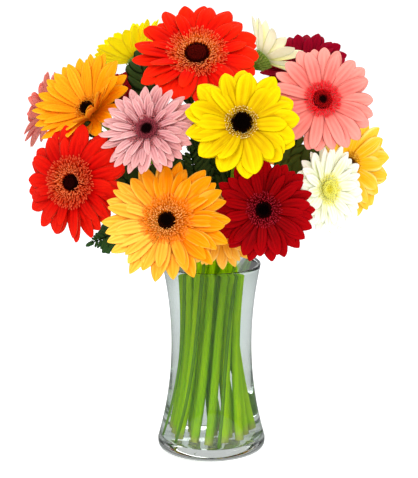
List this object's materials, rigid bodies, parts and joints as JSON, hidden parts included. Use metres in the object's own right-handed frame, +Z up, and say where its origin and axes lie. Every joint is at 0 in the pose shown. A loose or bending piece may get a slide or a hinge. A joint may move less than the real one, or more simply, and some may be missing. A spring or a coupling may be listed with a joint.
{
  "type": "gerbera bouquet in a glass vase",
  "caption": "Mixed gerberas in many colours with fern fronds, standing in a waisted clear glass vase full of water.",
  "frame": {"origin": "centre of the vase's underside, on the surface that it stands on", "axes": "+Z up along the vase's axis, -Y towards the front of the bouquet, +X to its right seen from the front"},
  "size_m": [0.3695, 0.2941, 0.4453],
  "materials": {
    "orange_front_petals": "velvety petal",
    "orange_front_florets": "dense matt florets",
    "yellow_front_petals": "velvety petal",
    "yellow_front_florets": "dense matt florets",
    "light_pink_petals": "velvety petal",
    "light_pink_florets": "dense matt florets",
    "crimson_front_petals": "velvety petal",
    "crimson_front_florets": "dense matt florets",
    "scarlet_left_petals": "velvety petal",
    "scarlet_left_florets": "dense matt florets",
    "coral_right_petals": "velvety petal",
    "coral_right_florets": "dense matt florets",
    "scarlet_top_petals": "velvety petal",
    "scarlet_top_florets": "dense matt florets",
    "white_right_petals": "velvety petal",
    "white_right_florets": "dense matt florets",
    "amber_left_petals": "velvety petal",
    "amber_left_florets": "dense matt florets",
    "orange_low_petals": "velvety petal",
    "orange_low_florets": "dense matt florets",
    "wine_left_petals": "velvety petal",
    "wine_left_florets": "dense matt florets",
    "cream_top_petals": "velvety petal",
    "cream_top_florets": "dense matt florets",
    "plum_top_petals": "velvety petal",
    "plum_top_florets": "dense matt florets",
    "gold_right_petals": "velvety petal",
    "gold_right_florets": "dense matt florets",
    "salmon_left_petals": "velvety petal",
    "salmon_left_florets": "dense matt florets",
    "lemon_back_petals": "velvety petal",
    "lemon_back_florets": "dense matt florets",
    "rose_back_petals": "velvety petal",
    "rose_back_florets": "dense matt florets",
    "orange_back_petals": "velvety petal",
    "orange_back_florets": "dense matt florets",
    "stem_green": "satin, finely downy green stem",
    "leaf_green": "satin dark leaf",
    "clear_glass": "clear polished glass",
    "clear_water": "clear still water"
  },
  "bodies": {
    "root": {"orange_front_petals": "orange_front_petals", "orange_front_disc": "orange_front_florets", "orange_front_stem": "stem_green", "yellow_front_petals": "yellow_front_petals", "yellow_front_disc": "yellow_front_florets", "yellow_front_stem": "stem_green", "light_pink_petals": "light_pink_petals", "light_pink_disc": "light_pink_florets", "light_pink_stem": "stem_green", "crimson_front_petals": "crimson_front_petals", "crimson_front_disc": "crimson_front_florets", "crimson_front_stem": "stem_green", "scarlet_left_petals": "scarlet_left_petals", "scarlet_left_disc": "scarlet_left_florets", "scarlet_left_stem": "stem_green", "coral_right_petals": "coral_right_petals", "coral_right_disc": "coral_right_florets", "coral_right_stem": "stem_green", "scarlet_top_petals": "scarlet_top_petals", "scarlet_top_disc": "scarlet_top_florets", "scarlet_top_stem": "stem_green", "white_right_petals": "white_right_petals", "white_right_disc": "white_right_florets", "white_right_stem": "stem_green", "amber_left_petals": "amber_left_petals", "amber_left_disc": "amber_left_florets", "amber_left_stem": "stem_green", "orange_low_petals": "orange_low_petals", "orange_low_disc": "orange_low_florets", "orange_low_stem": "stem_green", "wine_left_petals": "wine_left_petals", "wine_left_disc": "wine_left_florets", "wine_left_stem": "stem_green", "cream_top_petals": "cream_top_petals", "cream_top_disc": "cream_top_florets", "cream_top_stem": "stem_green", "plum_top_petals": "plum_top_petals", "plum_top_disc": "plum_top_florets", "plum_top_stem": "stem_green", "gold_right_petals": "gold_right_petals", "gold_right_disc": "gold_right_florets", "gold_right_stem": "stem_green", "salmon_left_petals": "salmon_left_petals", "salmon_left_disc": "salmon_left_florets", "salmon_left_stem": "stem_green", "lemon_back_petals": "lemon_back_petals", "lemon_back_disc": "lemon_back_florets", "lemon_back_stem": "stem_green", "rose_back_petals": "rose_back_petals", "rose_back_disc": "rose_back_florets", "rose_back_stem": "stem_green", "orange_back_petals": "orange_back_petals", "orange_back_disc": "orange_back_florets", "orange_back_stem": "stem_green", "fern_left": "leaf_green", "fern_middle": "leaf_green", "leaf_right": "leaf_green", "fern_back": "leaf_green", "vase": "clear_glass", "water": "clear_water"}
  },
  "joints": []
}
